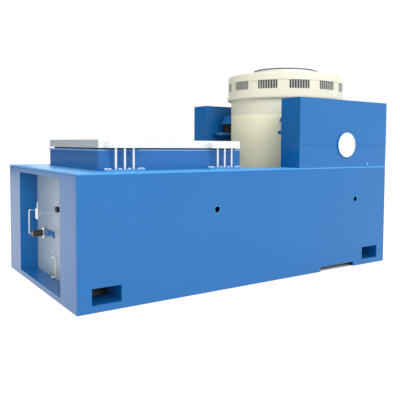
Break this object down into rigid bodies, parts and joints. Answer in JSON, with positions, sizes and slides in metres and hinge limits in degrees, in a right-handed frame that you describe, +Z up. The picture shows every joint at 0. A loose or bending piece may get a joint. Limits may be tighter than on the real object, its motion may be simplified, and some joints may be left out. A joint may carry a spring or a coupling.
{
  "type": "vibration testing machine",
  "caption": "Electrodynamic shaker on trunnions that tilts towards a horizontal slip table, on one welded base with fork pockets and an oil supply recess.",
  "frame": {"origin": "on the floor, at the middle of the overall length and width", "axes": "+X along the base from the slip table to the shaker, +Y to the rear, +Z up"},
  "size_m": [2.504, 1.388, 1.512],
  "materials": {
    "blue_paint": "satin",
    "panel_grey": "satin",
    "cream_paint": "satin",
    "black_paint": "satin",
    "machined_steel": "satin",
    "chrome": "polished",
    "magnet_iron": "matte",
    "copper": "satin",
    "magnesium": "satin",
    "rubber": "matte",
    "granite": "satin",
    "white_enamel": "gloss",
    "brown_plastic": "gloss",
    "black_plastic": "gloss",
    "clear_glass": "gloss"
  },
  "bodies": {
    "base": {"bearing_blocks": "machined_steel", "bearing_covers": "white_enamel", "chassis_floor": "blue_paint", "deck_plate": "blue_paint", "drain_cock": "machined_steel", "fork_sleeves": "blue_paint", "front_pedestal": "blue_paint", "front_pedestal_cap": "blue_paint", "front_side_wall": "blue_paint", "gauge_frame": "white_enamel", "gauge_glass": "clear_glass", "granite_block": "granite", "guide_posts": "machined_steel", "inner_walls": "blue_paint", "instrument_panel": "panel_grey", "knob_collar": "chrome", "left_end_frame": "blue_paint", "manifold_block": "blue_paint", "oil_filter": "brown_plastic", "oil_pump_unit": "black_paint", "oil_tank": "blue_paint", "panel_plugs": "chrome", "rear_pedestal": "blue_paint", "rear_pedestal_cap": "blue_paint", "rear_side_wall": "blue_paint", "recess_liner": "blue_paint", "return_pipe": "chrome", "right_end_wall": "blue_paint", "slip_box": "blue_paint", "tee_fitting": "chrome", "tilt_gear_case": "blue_paint", "trunnion_bearings": "machined_steel", "trunnion_plates": "blue_paint", "valve_body": "chrome", "well_bulkhead": "blue_paint"},
    "shaker_cradle": {"front_cradle": "blue_paint", "rear_cradle": "blue_paint", "trunnion_shafts": "machined_steel", "air_springs": "rubber"},
    "shaker_body": {"magnet_yoke": "cream_paint", "bottom_plate": "cream_paint", "air_outlet": "machined_steel", "top_plate": "cream_paint", "centre_pole": "magnet_iron", "field_coils": "copper", "grille_ring": "cream_paint", "top_cover": "cream_paint", "dust_seal": "rubber", "guide_bearing": "machined_steel", "body_lugs": "blue_paint"},
    "armature": {"armature_table": "magnesium", "drive_coil": "magnesium", "armature_shaft": "machined_steel"},
    "slip_table": {"slip_plate": "magnesium", "front_guide_bars": "magnesium", "rear_guide_bars": "magnesium"},
    "tilt_input": {"tilt_input_shaft": "machined_steel"},
    "valve_spindle": {"valve_handle": "chrome"},
    "regulator": {"regulator_knob": "black_plastic"},
    "drain_tap": {"drain_lever": "machined_steel"}
  },
  "joints": [
    {"name": "shaker_tilt", "type": "hinge", "parent": "base", "child": "shaker_cradle", "pos_m": [0.774, 0, 0.912], "axis": [0, -1, 0], "range_deg": [0, 90]},
    {"name": "body_float", "type": "slide", "parent": "shaker_cradle", "child": "shaker_body", "axis": [0, 0, 1], "range_m": [-0.01, 0.01], "stiffness_N_per_m": 4000000, "springref_m": 0.00992, "deforming": ["air_springs"]},
    {"name": "armature_stroke", "type": "slide", "parent": "shaker_body", "child": "armature", "axis": [0, 0, 1], "range_m": [-0.025, 0.025], "stiffness_N_per_m": 150000, "springref_m": 0.00373},
    {"name": "slip_table_stroke", "type": "slide", "parent": "base", "child": "slip_table", "axis": [1, 0, 0], "range_m": [-0.025, 0.025]},
    {"name": "tilt_input_turn", "type": "hinge", "parent": "base", "child": "tilt_input", "pos_m": [0.774, 0.6385, 0.797], "axis": [1, 0, 0], "range_deg": [0, 5400]},
    {"name": "valve_turn", "type": "hinge", "parent": "base", "child": "valve_spindle", "pos_m": [-1.192, 0.217, 0.515], "axis": [0, 0, 1], "range_deg": [0, 720]},
    {"name": "regulator_turn", "type": "hinge", "parent": "base", "child": "regulator", "pos_m": [-1.154, -0.058, 0.493], "axis": [-1, 0, 0], "range_deg": [0, 270]},
    {"name": "drain_turn", "type": "hinge", "parent": "base", "child": "drain_tap", "pos_m": [-1.154, 0.074, 0.062], "axis": [-1, 0, 0], "range_deg": [0, 90]}
  ],
  "couplings": [
    {"joint": "tilt_input_turn", "follows": "shaker_tilt", "ratio": 60}
  ]
}
